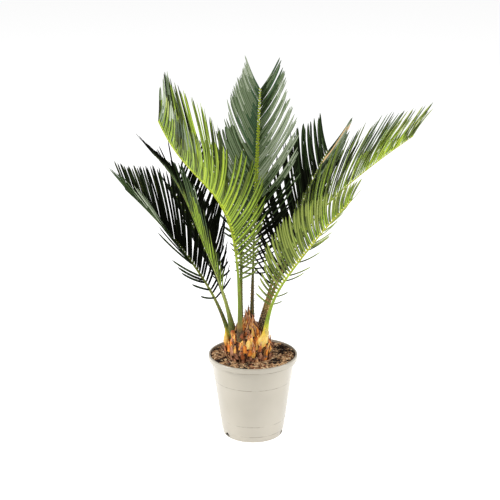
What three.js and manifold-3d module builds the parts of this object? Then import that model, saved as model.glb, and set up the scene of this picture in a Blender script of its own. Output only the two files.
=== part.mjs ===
// A young sago palm (Cycas revoluta) in its plastic nursery pot, in millimetres, +Z up.
// The origin is the centre of the pot's flat underside. The palm's trunk is a short caudex
// covered in pointed leaf bases, and each frond is a tapering stalk with two rows of
// stiff, narrow leaflets that turn from spread at the foot to swept forward at the tip.

import * as THREE from "three";
import { mergeVertices } from "three/addons/utils/BufferGeometryUtils.js";
import Module from "manifold-3d";

const wasm = await Module();
wasm.setup();

const CLEARANCE = 0.3;              // running gap between neighbouring solids
const GOLDEN_ANGLE = 137.508;       // degrees between one leaf base and the next

// Pot
const POT_SIDES = 36;
const POT_TURN = 4;                 // degrees, which keeps the facets' corners off the axes
const POT_HEIGHT = 160.5;
const RIM_RADIUS = 85;              // outside of the rolled rim
const RIM_HEIGHT = 10.5;
const RIM_INNER_RADIUS = 81.2;
const WALL_FOOT_RADIUS = 59;        // outside of the wall, carried down to the underside
const WALL_TOP_RADIUS = 80.6;       // outside of the wall just under the rim
const WALL = 1.6;
const FLOOR = 2.6;
const SHOULDER = 0.6;               // each moulded shoulder steps the wall out by this much
const SHOULDER_HEIGHTS = [11, 33, 112];
const DRAIN_AZIMUTHS = [213, 341, 97];
const DRAIN_WIDTH = 19;
const DRAIN_HEIGHT = 7.8;

// Soil
const SOIL_TOP = 150;               // level of the flat seat under the trunk
const SOIL_SEAT_RADIUS = 56;
const SOIL_SEAT_EDGE = 12;          // width over which the seat gives way to loose soil
const SOIL_LUMP = 0.8;
const SOIL_RINGS = [8, 16, 25, 40]; // insets of the surface's rings from the wall
const SOIL_BANK = 6.2;              // rise of the soil towards the rim
const HOLLOW = { x: 54, y: 38, radius: 15, depth: 9 };

// Trunk
const TRUNK_X = -8;                 // the trunk stands a little off the pot's axis
const TRUNK_FOOT = SOIL_TOP + CLEARANCE;
const TRUNK_PROFILE = [[42, 0], [44, 14], [43, 28], [38, 42], [30, 54], [20, 64], [10, 72]];
const TRUNK_SIDES = 16;
const SCALE_COUNT = 38;
const SCALE_LENGTH = 26;
const SCALE_WIDTH = 17;
const SCALE_THICK = 6.5;
const SCALE_LOWEST = 3;             // height of the first leaf base's root above the soil
const SCALE_RISE = 56;              // from there to the last one's root
const TUFT_COUNT = 12;
const TUFT_SPREAD = 15;
const TUFT_HEIGHT = 42;
const TUFT_WIDTH = 9;
const TUFT_THICK = 4.5;
const TUFT_DEPTH = 12;              // how far the tuft's roots lie below the trunk's top

// Fronds
const STALK_RADIUS = 4.2;
const STALK_TIP_RADIUS = 1;
const STALK_FLARE = 3;              // extra radius of the swollen foot
const STALK_KEEL = 1.3;             // depth of the lower side as a share of the radius
const FOOT_DEPTH = 20;              // how far the foot reaches down into its socket
const SOCKET_GAP = 1.3 * CLEARANCE; // corner to corner, so that the faces keep CLEARANCE
const PETIOLE_STEPS = 4;
const STALK_PARTS = 96;             // small steps in which a stalk's line is worked out
const LEAFLET_SPACING = 11;         // along the stalk, from one pair to the next
const LEAFLET_WIDTH = 6.8;
const LEAFLET_ROOT_WIDTH = 3.6;
const LEAFLET_THICK = 1.4;
const LEAFLET_WIDEST = 0.4;         // share of a leaflet's length where it is widest
const LEAFLET_CURVE = 0.1;          // rise of the tip as a share of the leaflet's length
const FILL = 0.84;                  // widest leaflet as a share of the room between two
const FOOT_SHARE = 0.38;            // length of the first leaflets, of the longest ones
const TIP_SHARE = 0.58;             // length of the last leaflets, of the longest ones
const GROWN_BY = 0.34;              // share of the blade where the leaflets are fully long
const SHRINK_FROM = 0.5;            // share of the blade where they begin to shorten
const FOOT_ANGLE = 80;              // between stalk and leaflet at the foot of the blade
const SWEEP = 4.5;                  // how soon the leaflets turn forward to the tip's angle
const TOUCH = 2.5;                  // nearer than this, two leaflets would touch
const SHORTER = [1, 0.8, 0.62];     // shares of its length that a crowded leaflet is tried at

// Each frond: the seat of its foot round the trunk's axis, the azimuth that it leans to, its
// lean from the vertical at even steps from foot to tip, its length, and the bare share of the
// stalk. Its blade has leaflet lengths, the roll of the blade about the stalk and the angle by
// which the halves rise out of its plane, also at even steps, and the leaflets' angle to the
// stalk at the tip. What holds for one half of the blade alone stands under left or right: tuck
// turns its leaflets forward by so many degrees, and scale multiplies their lengths.
const FRONDS = [
  {
    name: "frond_back_tall",
    seat: { radius: 12, azimuth: 60, height: 212 },
    azimuth: 76, lean: [2, 8, 9, 12], length: 450, bare: 0.22,
    leaflet: [120, 126, 132, 134, 114], roll: [-18], keel: [34, 28], tipAngle: 31,
    right: { scale: [0.8, 1, 1, 0.9, 1] },
  },
  {
    name: "frond_front_left",
    seat: { radius: 32, azimuth: 240, height: 216 },
    azimuth: 226, lean: [-1, 12, 46, 28], length: 492, bare: 0.2,
    leaflet: [112, 136, 152, 156, 124], roll: [0, 14, 50, 54], keel: [34, 28], tipAngle: 31,
    footAngle: 60,
    left: { keel: [30, 50, 60, 64] },
    right: { scale: [1, 1.06, 1.1, 1.08, 1.06, 1.08, 1.1, 1.24, 0.7] },
  },
  {
    name: "frond_left",
    seat: { radius: 34, azimuth: 205, height: 216 },
    azimuth: 196, lean: [10, 21, 22, 43], length: 380, bare: 0.2,
    leaflet: [118, 118, 100], roll: [20, 24, 4], keel: [32, 28, 8], tipAngle: 26,
    left: {
      keel: [54, 62, 70, 74], tuck: [12, 16, 20, 24, 24], scale: [1, 1, 0.9, 0.6, 0.5],
      footAngle: 34,
    },
    right: {
      keel: [32, 38, 46, 52, 56, 58, 20, 8],
      tuck: [-2, -4, -6, -8, -10, -12, -14, -15, -16, -17, -18, -19, -14, 21, 23, 24, 24],
      scale: [1, 1.05, 1.08, 1.06, 1.02, 1, 0.96, 0.74, 0.9], footAngle: 44,
    },
  },
  {
    name: "frond_left_low",
    seat: { radius: 38, azimuth: 178, height: 200 },
    azimuth: 168, lean: [16, 33, 42, 49], length: 340, bare: 0.2,
    leaflet: [118, 130, 100], roll: [44, 24, 8], keel: [34, 26], tipAngle: 28, footAngle: 66,
    left: {
      keel: [4, 20, 62, 70, 70], tuck: [-4, -2, 18, 21, 21], scale: [0.72, 0.8, 0.8, 0.9, 1.15],
      footAngle: 58,
    },
  },
  {
    name: "frond_front_right",
    seat: { radius: 40, azimuth: 322, height: 212 },
    azimuth: 332, lean: [6, 32, 37, 42], length: 330, bare: 0.16,
    leaflet: [96, 104, 76], roll: [40, 30, 16], keel: [30, 26], tipAngle: 27, footAngle: 72,
    left: { keel: [6, 4, 14, 22], tuck: [-4, -22, -24, -6], scale: [0.56, 0.46, 0.42, 0.66] },
    right: { tuck: [0, -14, -15, -8, 9], scale: [0.94, 0.86, 0.86, 0.92, 1.16] },
  },
  {
    name: "frond_right",
    seat: { radius: 24, azimuth: 350, height: 214 },
    azimuth: 352, lean: [13, 28, 46, 54], length: 478, bare: 0.3,
    leaflet: [110, 124, 132, 118], roll: [0], keel: [36, 40], tipAngle: 29,
  },
  {
    name: "frond_right_back",
    seat: { radius: 28, azimuth: 45, height: 205 },
    azimuth: 38, lean: [18, 25, 30, 38], length: 365, bare: 0.22,
    leaflet: [120, 132, 126], roll: [-10, -16, -18], keel: [30, 28], tipAngle: 30, footAngle: 66,
    left: { tuck: [0, 0, 0, -7], scale: [1, 1, 1, 1.06, 1] },
    right: { tuck: [0, 0, 2, 14], scale: [1, 1, 1.05, 1.1] },
  },
  {
    name: "frond_back",
    seat: { radius: 34, azimuth: 116, height: 208 },
    azimuth: 88, lean: [5, 18, 38, 56], length: 372, bare: 0.42,
    leaflet: [104, 112, 92], roll: [0], keel: [32, 24], tipAngle: 27,
  },
  {
    name: "frond_back_left",
    seat: { radius: 36, azimuth: 147, height: 206 },
    azimuth: 138, lean: [18, 32, 36, 46], length: 300, bare: 0.3,
    leaflet: [76, 82, 70], roll: [0], keel: [34, 26], tipAngle: 27,
  },
];

const radians = THREE.MathUtils.degToRad;

// A smooth value at share s of evenly spaced knots; one knot is a constant.
function along(knots, s) {
  if (knots.length === 1) return knots[0];
  const last = knots.length - 1;
  const u = THREE.MathUtils.clamp(s, 0, 1) * last;
  const i = Math.min(Math.floor(u), last - 1);
  const w = u - i;
  const [p1, p2] = [knots[i], knots[i + 1]];
  const p0 = i > 0 ? knots[i - 1] : 2 * p1 - p2;
  const p3 = i + 2 <= last ? knots[i + 2] : 2 * p2 - p1;
  const linear = (p2 - p0) * w;
  const square = (2 * p0 - 5 * p1 + 4 * p2 - p3) * w * w;
  const cube = (3 * p1 - p0 - 3 * p2 + p3) * w * w * w;
  return 0.5 * (2 * p1 + linear + square + cube);
}

function ease(t) {
  return THREE.MathUtils.smoothstep(t, 0, 1);
}

// The point a + b * k.
function step(a, b, k) {
  return a.clone().addScaledVector(b, k);
}

// A skin of triangles over rings of points, which turn counter-clockwise about the way that
// they are stacked. A ring of one point is a tip.
class Skin {
  points = [];
  triangles = [];

  // Adds a ring and returns its points' numbers.
  ring(points) {
    const first = this.points.length;
    this.points.push(...points);
    return points.map((_, j) => first + j);
  }

  // Joins two rings, except over the sides listed in open.
  band(lower, upper, open = []) {
    lower.forEach((a, j) => {
      if (open.includes(j)) return;
      const next = (j + 1) % lower.length;
      const b = lower[next];
      if (upper.length === 1) this.triangles.push(a, b, upper[0]);
      else this.triangles.push(a, b, upper[next], a, upper[next], upper[j]);
    });
  }

  // Closes the skin over its first ring or over its last one.
  closeFirst(ring) {
    for (let j = 1; j < ring.length - 1; j++) this.triangles.push(ring[0], ring[j + 1], ring[j]);
  }

  closeLast(ring) {
    for (let j = 1; j < ring.length - 1; j++) this.triangles.push(ring[0], ring[j], ring[j + 1]);
  }

  geometry() {
    return new THREE.BufferGeometry().setFromPoints(this.points).setIndex(this.triangles);
  }
}

// A closed body over rings of points.
function loft(rings) {
  const skin = new Skin();
  const numbered = rings.map((points) => skin.ring(points));
  skin.closeFirst(numbered[0]);
  for (let i = 1; i < numbered.length; i++) skin.band(numbered[i - 1], numbered[i]);
  skin.closeLast(numbered.at(-1));
  return skin.geometry();
}

function toSolid(geometry) {
  const bare = geometry.clone();
  bare.deleteAttribute("normal");
  bare.deleteAttribute("uv");
  const merged = mergeVertices(bare, 1e-4);
  const vertProperties = new Float32Array(merged.attributes.position.array);
  const triVerts = new Uint32Array(merged.index.array);
  return new wasm.Manifold(new wasm.Mesh({ numProp: 3, vertProperties, triVerts }));
}

function toGeometry(solid) {
  const mesh = solid.getMesh();
  const geometry = new THREE.BufferGeometry();
  geometry.setAttribute("position", new THREE.BufferAttribute(mesh.vertProperties, 3));
  geometry.setIndex(new THREE.BufferAttribute(mesh.triVerts, 1));
  return geometry;
}

// ---- pot

function wallRadius(z) {
  const shoulders = SHOULDER_HEIGHTS.filter((height) => z > height).length;
  const plain = THREE.MathUtils.lerp(WALL_FOOT_RADIUS, WALL_TOP_RADIUS, z / POT_HEIGHT);
  return plain + SHOULDER * (shoulders - SHOULDER_HEIGHTS.length);
}

function innerRadius(z) {
  const top = RIM_INNER_RADIUS - WALL;
  const foot = WALL_FOOT_RADIUS - SHOULDER * SHOULDER_HEIGHTS.length - WALL;
  return THREE.MathUtils.lerp(foot, top, z / (POT_HEIGHT - RIM_HEIGHT));
}

function potProfile() {
  const rimFoot = POT_HEIGHT - RIM_HEIGHT;
  const round = 2;
  const outline = [[0, 0], [wallRadius(0) - 1, 0], [wallRadius(1), 1]];
  for (const height of SHOULDER_HEIGHTS) {
    outline.push([wallRadius(height), height]);
    outline.push([wallRadius(height + 1), height + 1]);
  }
  outline.push([wallRadius(rimFoot), rimFoot]);
  outline.push([RIM_RADIUS - round / 2, rimFoot]);
  outline.push([RIM_RADIUS, rimFoot + round]);
  outline.push([RIM_RADIUS, POT_HEIGHT - round]);
  outline.push([RIM_RADIUS - round, POT_HEIGHT]);
  outline.push([RIM_INNER_RADIUS, POT_HEIGHT - round / 2]);
  outline.push([innerRadius(rimFoot), rimFoot]);
  outline.push([innerRadius(FLOOR), FLOOR]);
  outline.push([0, FLOOR]);
  return outline.map(([r, z]) => new THREE.Vector2(r, z));
}

// A three-sided bar that lies along a radius and cuts one drain notch above the floor.
function drainCutter(degrees) {
  const azimuth = radians(degrees);
  const outward = new THREE.Vector3(Math.cos(azimuth), Math.sin(azimuth), 0);
  const across = new THREE.Vector3(-Math.sin(azimuth), Math.cos(azimuth), 0);
  const rings = [WALL_FOOT_RADIUS - 12, WALL_FOOT_RADIUS + 8].map((radius) => {
    const middle = outward.clone().multiplyScalar(radius);
    middle.z = FLOOR;
    const top = middle.clone();
    top.z += DRAIN_HEIGHT;
    const half = DRAIN_WIDTH / 2;
    return [step(middle, across, -half), step(middle, across, half), top];
  });
  return toSolid(loft(rings));
}

function makePot() {
  const shell = new THREE.LatheGeometry(potProfile(), POT_SIDES);
  shell.rotateX(Math.PI / 2);
  shell.rotateZ(radians(POT_TURN));
  let pot = toSolid(shell);
  for (const degrees of DRAIN_AZIMUTHS) pot = pot.subtract(drainCutter(degrees));
  return toGeometry(pot);
}

// ---- soil

function soilHeight(x, y) {
  const fromTrunk = Math.hypot(x - TRUNK_X, y);
  const free = ease((fromTrunk - SOIL_SEAT_RADIUS) / SOIL_SEAT_EDGE);
  const waves = Math.sin(x * 0.31 + y * 0.17) + Math.sin(y * 0.37 - x * 0.11);
  const hole = Math.hypot(x - HOLLOW.x, y - HOLLOW.y) / HOLLOW.radius;
  const bank = SOIL_BANK + SOIL_LUMP * waves;
  return SOIL_TOP + free * (bank - HOLLOW.depth * (1 - ease(hole)));
}

function makeSoil() {
  const ring = (radius, height) => Array.from({ length: POT_SIDES }, (_, j) => {
    const angle = radians(POT_TURN + (j / POT_SIDES) * 360);
    const [x, y] = [radius * Math.cos(angle), radius * Math.sin(angle)];
    return new THREE.Vector3(x, y, height ?? soilHeight(x, y));
  });
  const floor = FLOOR + CLEARANCE;
  const edge = innerRadius(SOIL_TOP) - CLEARANCE;
  const rings = [ring(innerRadius(floor) - CLEARANCE, floor), ring(edge)];
  for (const inset of SOIL_RINGS) rings.push(ring(edge - inset));
  rings.push([new THREE.Vector3(0, 0, SOIL_TOP)]);
  return toGeometry(toSolid(loft(rings)));
}

// ---- fronds

// The direction, upper side and left side of a frond at share s of its stalk.
function frameAt(frond, s) {
  const lean = radians(along(frond.lean, s));
  const azimuth = radians(frond.azimuth);
  const roll = radians(along(frond.roll, s));
  const [x, y] = [Math.cos(azimuth), Math.sin(azimuth)];
  const ahead = new THREE.Vector3(Math.sin(lean) * x, Math.sin(lean) * y, Math.cos(lean));
  const upright = new THREE.Vector3(-Math.cos(lean) * x, -Math.cos(lean) * y, Math.sin(lean));
  const level = upright.clone().cross(ahead);
  const upper = upright.clone().multiplyScalar(Math.cos(roll)).addScaledVector(level, Math.sin(roll));
  const left = level.clone().multiplyScalar(Math.cos(roll)).addScaledVector(upright, -Math.sin(roll));
  return { ahead, upper, left };
}

function stalkRadius(s) {
  const taper = STALK_TIP_RADIUS + (STALK_RADIUS - STALK_TIP_RADIUS) * (1 - s) ** 1.1;
  return taper + STALK_FLARE * Math.exp(-14 * s);
}

// Points along the stalk's middle line, found by walking up it in small steps.
function stalkLine(frond) {
  const azimuth = radians(frond.seat.azimuth);
  const point = new THREE.Vector3(Math.cos(azimuth), Math.sin(azimuth), 0);
  point.multiplyScalar(frond.seat.radius).add(new THREE.Vector3(TRUNK_X, 0, frond.seat.height));
  const line = [point.clone()];
  for (let i = 0; i < STALK_PARTS; i++) {
    point.addScaledVector(frameAt(frond, i / STALK_PARTS).ahead, frond.length / STALK_PARTS);
    line.push(point.clone());
  }
  return line;
}

function pointAt(line, s) {
  const u = THREE.MathUtils.clamp(s, 0, 1) * (line.length - 1);
  const i = Math.min(Math.floor(u), line.length - 2);
  return line[i].clone().lerp(line[i + 1], u - i);
}

// Five corners of the stalk's section: a flat upper side, two narrow sides that carry the
// leaflets, and a keel below. The bare stalk has taller sides than the blade.
function stalkRing(frond, middle, s, grow) {
  const { upper, left } = frameAt(frond, s);
  const radius = stalkRadius(s);
  const half = (s < frond.bare ? 0.6 * radius : LEAFLET_THICK / 2) + grow;
  const wide = radius + grow;
  const deep = STALK_KEEL * radius + 2 * grow;
  const corners = [[-wide, half], [-wide, -half], [0, -deep], [wide, -half], [wide, half]];
  return corners.map(([side, up]) => step(step(middle, left, side), upper, up));
}

const RIGHT_SIDE = 0;
const LEFT_SIDE = 3;

// The foot's end, which is sunk into the trunk's crown, and the rings up the bare stalk.
function petioleRings(frond, line, grow) {
  const { ahead } = frameAt(frond, 0);
  const rings = [stalkRing(frond, step(line[0], ahead, -FOOT_DEPTH - grow), 0, grow)];
  for (let i = 0; i < PETIOLE_STEPS; i++) {
    const s = frond.bare * (i / PETIOLE_STEPS) ** 1.4;
    rings.push(stalkRing(frond, pointAt(line, s), s, grow));
  }
  return rings;
}

// What holds for one half of a frond: the half's own value, or else the whole frond's. Side is
// 1 on the left.
function halfValue(frond, side, key, fallback) {
  const half = side > 0 ? frond.left : frond.right;
  return half?.[key] ?? frond[key] ?? fallback;
}

function pairCount(frond) {
  return Math.round((frond.length * (1 - frond.bare)) / LEAFLET_SPACING);
}

// The share of its full length that a leaflet has at share t of the blade.
function lengthShare(t) {
  const grown = FOOT_SHARE + (1 - FOOT_SHARE) * ease(t / GROWN_BY);
  const shrunk = 1 - (1 - TIP_SHARE) * ease((t - SHRINK_FROM) / (1 - SHRINK_FROM));
  return grown * shrunk;
}

// One leaflet's frame and sizes: a flat blade that leaves the stalk at root, is widest at
// middle and ends at tip. Its face is on the frond's upper side; side is 1 on the left.
function leaflet(frond, line, pair, side, share) {
  const pairs = pairCount(frond);
  const t = (pair + 0.5) / pairs;
  const s = frond.bare + (1 - frond.bare) * t;
  const { ahead, upper, left } = frameAt(frond, s);
  const footAngle = halfValue(frond, side, "footAngle", FOOT_ANGLE);
  const swept = frond.tipAngle + (footAngle - frond.tipAngle) * (1 - t) ** SWEEP;
  const angle = radians(swept - along(halfValue(frond, side, "tuck", [0]), t));
  const rise = radians(along(halfValue(frond, side, "keel"), t));
  const outward = left.clone().multiplyScalar(side * Math.cos(rise));
  outward.addScaledVector(upper, Math.sin(rise));
  const axis = ahead.clone().multiplyScalar(Math.cos(angle)).addScaledVector(outward, Math.sin(angle));
  const across = step(ahead, axis, -ahead.dot(axis)).normalize();
  const face = axis.clone().cross(across).multiplyScalar(-side);
  const scale = along(halfValue(frond, side, "scale", [1]), t);
  const length = share * scale * along(frond.leaflet, t) * lengthShare(t);
  const room = FILL * LEAFLET_SPACING * Math.sin(angle);
  const width = Math.min(LEAFLET_WIDTH, room) * Math.sqrt(lengthShare(t));
  const bend = upper.clone().multiplyScalar(0.6).addScaledVector(ahead, 0.4);
  const root = pointAt(line, s);
  const at = (w) => step(step(root, axis, length * w), bend, length * LEAFLET_CURVE * w * w);
  return { side, root, middle: at(LEAFLET_WIDEST), tip: at(1), across, face, width };
}

// The corners of a leaflet's section at its widest, in the order of the stalk's corners.
function leafletRing({ side, middle, across, face, width }) {
  const [half, deep] = [width / 2, (LEAFLET_THICK / 2) * side];
  const corners = [[-half, -deep], [-half, deep], [half, deep], [half, -deep]];
  return corners.map(([forward, up]) => step(step(middle, across, forward), face, up));
}

// The lines that a leaflet's middle and its edges follow, as pairs of points.
function leafletLines({ root, middle, tip, across, width }) {
  return [-0.5, 0, 0.5].flatMap((k) => {
    const start = step(root, across, k * Math.min(LEAFLET_ROOT_WIDTH, width));
    const widest = step(middle, across, k * width);
    return [[start, widest], [widest, tip]];
  });
}

// The least distance between segments a and b.
function segmentDistance([a0, a1], [b0, b1]) {
  const u = a1.clone().sub(a0);
  const v = b1.clone().sub(b0);
  const w = a0.clone().sub(b0);
  const [uu, uv, vv, uw, vw] = [u.dot(u), u.dot(v), v.dot(v), u.dot(w), v.dot(w)];
  const slope = uu * vv - uv * uv;
  let s = slope > 1e-9 ? THREE.MathUtils.clamp((uv * vw - vv * uw) / slope, 0, 1) : 0;
  const t = THREE.MathUtils.clamp((uv * s + vw) / vv, 0, 1);
  s = THREE.MathUtils.clamp((uv * t - uw) / uu, 0, 1);
  return step(a0, u, s).distanceTo(step(b0, v, t));
}

function boxOf(lines) {
  return new THREE.Box3().setFromPoints(lines.flat());
}

// Whether lines come nearer than their reach to anything that another frond holds.
function touches(lines, owner, held) {
  const box = boxOf(lines);
  return held.some((other) => {
    if (other.owner === owner) return false;
    if (!box.intersectsBox(other.box)) return false;
    return lines.some((a) => other.lines.some((b) => segmentDistance(a, b) < other.reach));
  });
}

function hold(held, lines, owner, reach) {
  held.push({ lines, owner, reach, box: boxOf(lines).expandByScalar(reach) });
}

// A leaflet as long as the space beside the other fronds allows, or none.
function fittingLeaflet(frond, line, pair, side, held) {
  const fitting = SHORTER
    .map((share) => leaflet(frond, line, pair, side, share))
    .find((candidate) => !touches(leafletLines(candidate), frond.name, held));
  if (fitting) hold(held, leafletLines(fitting), frond.name, TOUCH);
  return fitting;
}

// One frond as a single skin: the stalk, with leaflets that grow out of its narrow sides.
function makeFrond(frond, line, held) {
  const skin = new Skin();
  const rings = petioleRings(frond, line, 0).map((points) => skin.ring(points));
  skin.closeFirst(rings[0]);
  for (let i = 1; i < rings.length; i++) skin.band(rings[i - 1], rings[i]);
  let last = rings.at(-1);
  const pairs = pairCount(frond);
  const halfRoot = LEAFLET_ROOT_WIDTH / 2 / frond.length;
  for (let pair = 0; pair < pairs; pair++) {
    const s = frond.bare + (1 - frond.bare) * ((pair + 0.5) / pairs);
    const [lower, upper] = [s - halfRoot, s + halfRoot].map((share) =>
      skin.ring(stalkRing(frond, pointAt(line, share), share, 0)));
    const open = [];
    for (const [side, corner] of [[1, LEFT_SIDE], [-1, RIGHT_SIDE]]) {
      const blade = fittingLeaflet(frond, line, pair, side, held);
      if (!blade) continue;
      open.push(corner);
      const root = [lower[corner], lower[corner + 1], upper[corner + 1], upper[corner]];
      const widest = skin.ring(leafletRing(blade));
      skin.band(root, widest);
      skin.band(widest, skin.ring([blade.tip]));
    }
    skin.band(last, lower);
    skin.band(lower, upper, open);
    last = upper;
  }
  skin.band(last, skin.ring([line.at(-1)]));
  return skin.geometry();
}

function makeFronds() {
  const held = [];
  const lines = FRONDS.map(stalkLine);
  FRONDS.forEach((frond, index) => {
    const line = lines[index];
    for (let i = 0; i + 4 < line.length; i += 4) {
      const reach = STALK_KEEL * stalkRadius(i / (line.length - 1)) + TOUCH / 2;
      hold(held, [[line[i], line[i + 4]]], frond.name, reach);
    }
  });
  return FRONDS.map((frond, index) => makeFrond(frond, lines[index], held));
}

// ---- trunk

// A pointed four-sided scale or spike from root towards tip, flat across its width.
function spike(root, tip, across, width, thick) {
  const axis = tip.clone().sub(root);
  const out = across.clone().cross(axis).normalize();
  const ring = (share, wide, deep) => {
    const middle = step(root, axis, share);
    return [
      step(middle, across, wide / 2),
      step(middle, out, deep / 2),
      step(middle, across, -wide / 2),
      step(middle, out, -deep / 2),
    ];
  };
  const rings = [ring(0, width, thick), ring(0.55, width * 0.8, thick), [tip]];
  const turned = across.clone().cross(out).dot(axis) < 0;
  if (turned) for (const points of rings) points.reverse();
  return toSolid(loft(rings));
}

function trunkRadius(height) {
  for (let i = 1; i < TRUNK_PROFILE.length; i++) {
    const [[r0, z0], [r1, z1]] = [TRUNK_PROFILE[i - 1], TRUNK_PROFILE[i]];
    if (height <= z1) return THREE.MathUtils.lerp(r0, r1, (height - z0) / (z1 - z0));
  }
  return TRUNK_PROFILE.at(-1)[0];
}

function trunkCore() {
  const outline = [[0, 0], ...TRUNK_PROFILE, [0, TRUNK_PROFILE.at(-1)[1] + 2]];
  const core = new THREE.LatheGeometry(outline.map(([r, z]) => new THREE.Vector2(r, z)), TRUNK_SIDES);
  core.rotateX(Math.PI / 2);
  core.translate(TRUNK_X, 0, TRUNK_FOOT);
  return toSolid(core);
}

// A leaf base: it starts inside the trunk's core and its point stands out and up.
function trunkScale(index) {
  const share = (index + 0.5) / SCALE_COUNT;
  const azimuth = radians(index * GOLDEN_ANGLE);
  const height = SCALE_LOWEST + share * SCALE_RISE;
  const outward = new THREE.Vector3(Math.cos(azimuth), Math.sin(azimuth), 0);
  const across = new THREE.Vector3(-Math.sin(azimuth), Math.cos(azimuth), 0);
  const radius = trunkRadius(height);
  const foot = new THREE.Vector3(TRUNK_X, 0, TRUNK_FOOT + height);
  const root = step(foot, outward, radius - SCALE_THICK * 0.6);
  const tip = step(foot, outward, trunkRadius(height + SCALE_LENGTH * 0.5) + SCALE_THICK);
  tip.z += SCALE_LENGTH * (0.9 - 0.25 * share);
  return spike(root, tip, across, SCALE_WIDTH, SCALE_THICK);
}

function tuftSpike(index) {
  const share = index / TUFT_COUNT;
  const azimuth = radians(180 + index * GOLDEN_ANGLE);
  const outward = new THREE.Vector3(Math.cos(azimuth), Math.sin(azimuth), 0);
  const across = new THREE.Vector3(-Math.sin(azimuth), Math.cos(azimuth), 0);
  const foot = new THREE.Vector3(TRUNK_X, 0, TRUNK_FOOT + TRUNK_PROFILE.at(-1)[1] - TUFT_DEPTH);
  const root = step(foot, outward, TUFT_SPREAD * Math.sqrt(share));
  const tip = step(root, outward, TUFT_WIDTH * 0.5 * share);
  tip.z += TUFT_HEIGHT * (1 - 0.45 * share);
  return spike(root, tip, across, TUFT_WIDTH, TUFT_THICK);
}

function makeTrunk() {
  let trunk = trunkCore();
  for (let i = 0; i < SCALE_COUNT; i++) trunk = trunk.add(trunkScale(i));
  for (let i = 0; i < TUFT_COUNT; i++) trunk = trunk.add(tuftSpike(i));
  for (const frond of FRONDS) {
    const socket = petioleRings(frond, stalkLine(frond), SOCKET_GAP);
    trunk = trunk.subtract(toSolid(loft(socket)));
  }
  const pieces = trunk.decompose().sort((a, b) => b.volume() - a.volume());
  return toGeometry(pieces[0]);
}

// ---- materials and the scene

const plastic = new THREE.MeshStandardMaterial({ color: 0xd8d2c4, roughness: 0.45 });
const coir = new THREE.MeshStandardMaterial({ color: 0x7a5f45, roughness: 1 });
const leafBases = new THREE.MeshStandardMaterial({ color: 0xb0713a, roughness: 0.85 });
const green = new THREE.MeshStandardMaterial({ color: 0x4d7034, roughness: 0.4 });

const palm = new THREE.Group();

function place(name, geometry, material) {
  const mesh = new THREE.Mesh(geometry, material);
  mesh.name = name;
  palm.add(mesh);
}

place("pot", makePot(), plastic);
place("soil", makeSoil(), coir);
place("trunk", makeTrunk(), leafBases);
makeFronds().forEach((geometry, i) => place(FRONDS[i].name, geometry, green));

export default palm;
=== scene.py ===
# A young sago palm in its nursery pot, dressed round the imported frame. Metres, +Z up.
import math
from functools import cache

import bpy
import numpy as np
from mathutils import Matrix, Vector, noise


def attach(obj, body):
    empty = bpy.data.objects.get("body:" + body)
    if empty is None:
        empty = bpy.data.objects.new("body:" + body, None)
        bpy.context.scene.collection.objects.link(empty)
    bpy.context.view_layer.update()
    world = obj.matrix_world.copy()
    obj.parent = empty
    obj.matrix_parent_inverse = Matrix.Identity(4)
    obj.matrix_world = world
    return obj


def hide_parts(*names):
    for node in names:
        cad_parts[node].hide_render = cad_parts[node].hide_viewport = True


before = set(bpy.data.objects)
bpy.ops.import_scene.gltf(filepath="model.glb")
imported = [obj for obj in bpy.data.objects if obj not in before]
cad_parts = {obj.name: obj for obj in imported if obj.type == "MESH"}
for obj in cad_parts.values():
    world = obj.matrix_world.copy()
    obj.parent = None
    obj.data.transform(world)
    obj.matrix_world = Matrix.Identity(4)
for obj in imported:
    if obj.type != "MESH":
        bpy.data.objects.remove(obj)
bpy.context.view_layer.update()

# ---- camera

CAMERA_PLACE = (-0.0056, -2.4, 1.10)
CAMERA_PITCH = 73.0  # degrees from straight down
CAMERA_LENS = 96.9

camera_data = bpy.data.cameras.new("camera")
camera_data.lens = CAMERA_LENS
camera_data.sensor_width = 36.0
camera = bpy.data.objects.new("camera", camera_data)
camera.location = CAMERA_PLACE
camera.rotation_euler = (math.radians(CAMERA_PITCH), 0, 0)
bpy.context.scene.collection.objects.link(camera)
bpy.context.scene.camera = camera

# ---- named sizes, the same as the solids' but for TRUNK_PROFILE, which is up to 5 mm slimmer near
# its top, where leaf bases stand out

MM = 0.001
UP = np.array([0.0, 0.0, 1.0])
GOLDEN_ANGLE = 137.508
TURN = 2 * math.pi

POT_HEIGHT = 0.1605
RIM_RADIUS = 0.085
RIM_HEIGHT = 0.0105
RIM_INNER_RADIUS = 0.0812
WALL_FOOT_RADIUS = 0.059
WALL_TOP_RADIUS = 0.0806
WALL = 0.0016
FLOOR = 0.0026
SHOULDER = 0.0006
SHOULDER_HEIGHTS = (0.011, 0.033, 0.112)
DRAIN_AZIMUTHS = (213, 341, 97)
DRAIN_WIDTH = 0.0190
DRAIN_HEIGHT = 0.0078

SOIL_TOP = 0.150
SOIL_MEETS_BARK = 0.036
SOIL_SEAT_EDGE = 0.012
SOIL_BANK = 0.0062
HOLLOW = (0.054, 0.038, 0.015, 0.009)  # x, y, radius and depth

TRUNK_X = -0.008
TRUNK_FOOT = SOIL_TOP + 0.0003
# radii and heights, in millimetres
TRUNK_PROFILE = ((42, 0), (44, 14), (43, 28), (37, 42), (27, 54), (15, 64), (8, 72))

STALK_RADIUS = 0.0042
STALK_TIP_RADIUS = 0.001
STALK_FLARE = 0.003
STALK_KEEL = 1.3
FOOT_DEPTH = 0.020
STALK_PARTS = 96
LEAFLET_SPACING = 0.0066
LEAFLET_WIDTH = 0.0052
CROWDING = 0.86  # under 1 sets the leaflets closer towards the frond's tip
LEAFLET_CURVE = 0.1
FOOT_SHARE = 0.38
TIP_SHARE = 0.58
GROWN_BY = 0.34
SHRINK_FROM = 0.5
SWEEP = 4.5

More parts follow.
